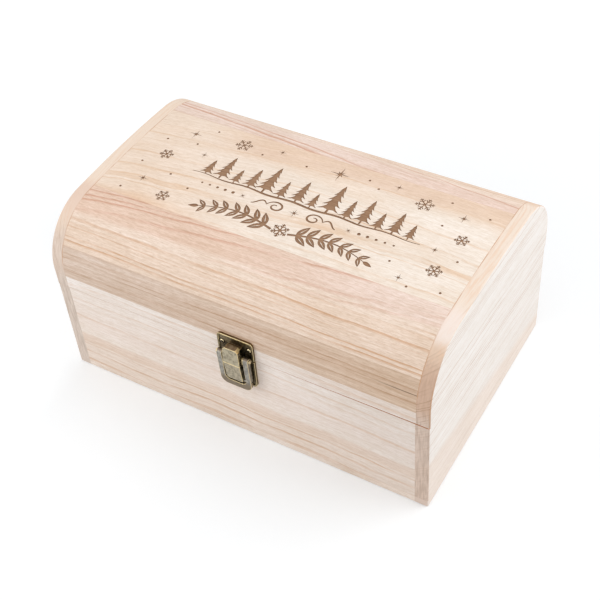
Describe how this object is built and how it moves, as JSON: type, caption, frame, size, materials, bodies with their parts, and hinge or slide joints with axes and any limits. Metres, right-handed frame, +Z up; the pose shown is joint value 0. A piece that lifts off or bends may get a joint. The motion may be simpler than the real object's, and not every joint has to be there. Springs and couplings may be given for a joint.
{
  "type": "keepsake box",
  "caption": "Wooden keepsake box with a domed stave-built lid between flush end boards, nailed back hinges and a bronze draw latch at the front.",
  "frame": {"origin": "middle of the underside", "axes": "+X along the box to the right as seen from the latch side, -Y towards the latch, +Z up"},
  "size_m": [0.3, 0.209, 0.1444],
  "materials": {
    "wall_wood": "sanded pale softwood, unvarnished",
    "end_wood": "sanded pale softwood with fine straight grain",
    "bottom_wood": "sanded pale softwood",
    "stave_wood": "sanded light brown wood",
    "shoulder_wood": "sanded tan wood with streaked figure",
    "top_wood": "sanded cream wood, engraved",
    "bronze": "antique bronze plating, brighter on worn edges",
    "steel": "bare drawn wire"
  },
  "bodies": {
    "base": {"bottom_board": "bottom_wood", "base_front_board": "wall_wood", "base_back_board": "wall_wood", "base_left_end": "end_wood", "base_right_end": "end_wood", "latch_mount_plate": "bronze", "latch_mount_nails": "bronze", "latch_lever_pins": "bronze", "hinge_left_base_leaf": "bronze", "hinge_right_base_leaf": "bronze", "hinge_left_pin": "steel", "hinge_right_pin": "steel", "hinge_base_nails": "bronze"},
    "lid": {"lid_left_end": "end_wood", "lid_right_end": "end_wood", "lid_front_rail": "wall_wood", "lid_front_stave": "stave_wood", "lid_front_shoulder": "shoulder_wood", "lid_top_panel": "top_wood", "lid_back_shoulder": "shoulder_wood", "lid_back_stave": "stave_wood", "lid_back_rail": "wall_wood", "latch_strike_plate": "bronze", "latch_strike_nails": "bronze", "hinge_left_lid_leaf": "bronze", "hinge_right_lid_leaf": "bronze", "hinge_lid_nails": "bronze"},
    "latch_lever": {"latch_lever": "bronze", "latch_hook_pin": "steel"},
    "latch_hook": {"latch_hook": "bronze"}
  },
  "joints": [
    {"name": "lid_hinge", "type": "hinge", "parent": "base", "child": "lid", "pos_m": [0, 0.0988, 0.0839], "axis": [-1, 0, 0], "range_deg": [0, 100]},
    {"name": "lever_pivot", "type": "hinge", "parent": "base", "child": "latch_lever", "pos_m": [0.0062, -0.1017, 0.087], "axis": [-1, 0, 0], "range_deg": [-3.5, 100]},
    {"name": "hook_pivot", "type": "hinge", "parent": "latch_lever", "child": "latch_hook", "pos_m": [0.0062, -0.10154, 0.06559], "axis": [-1, 0, 0], "range_deg": [-100, 3.5]}
  ],
  "couplings": [
    {"joint": "hook_pivot", "follows": "lever_pivot", "ratio": -1}
  ]
}
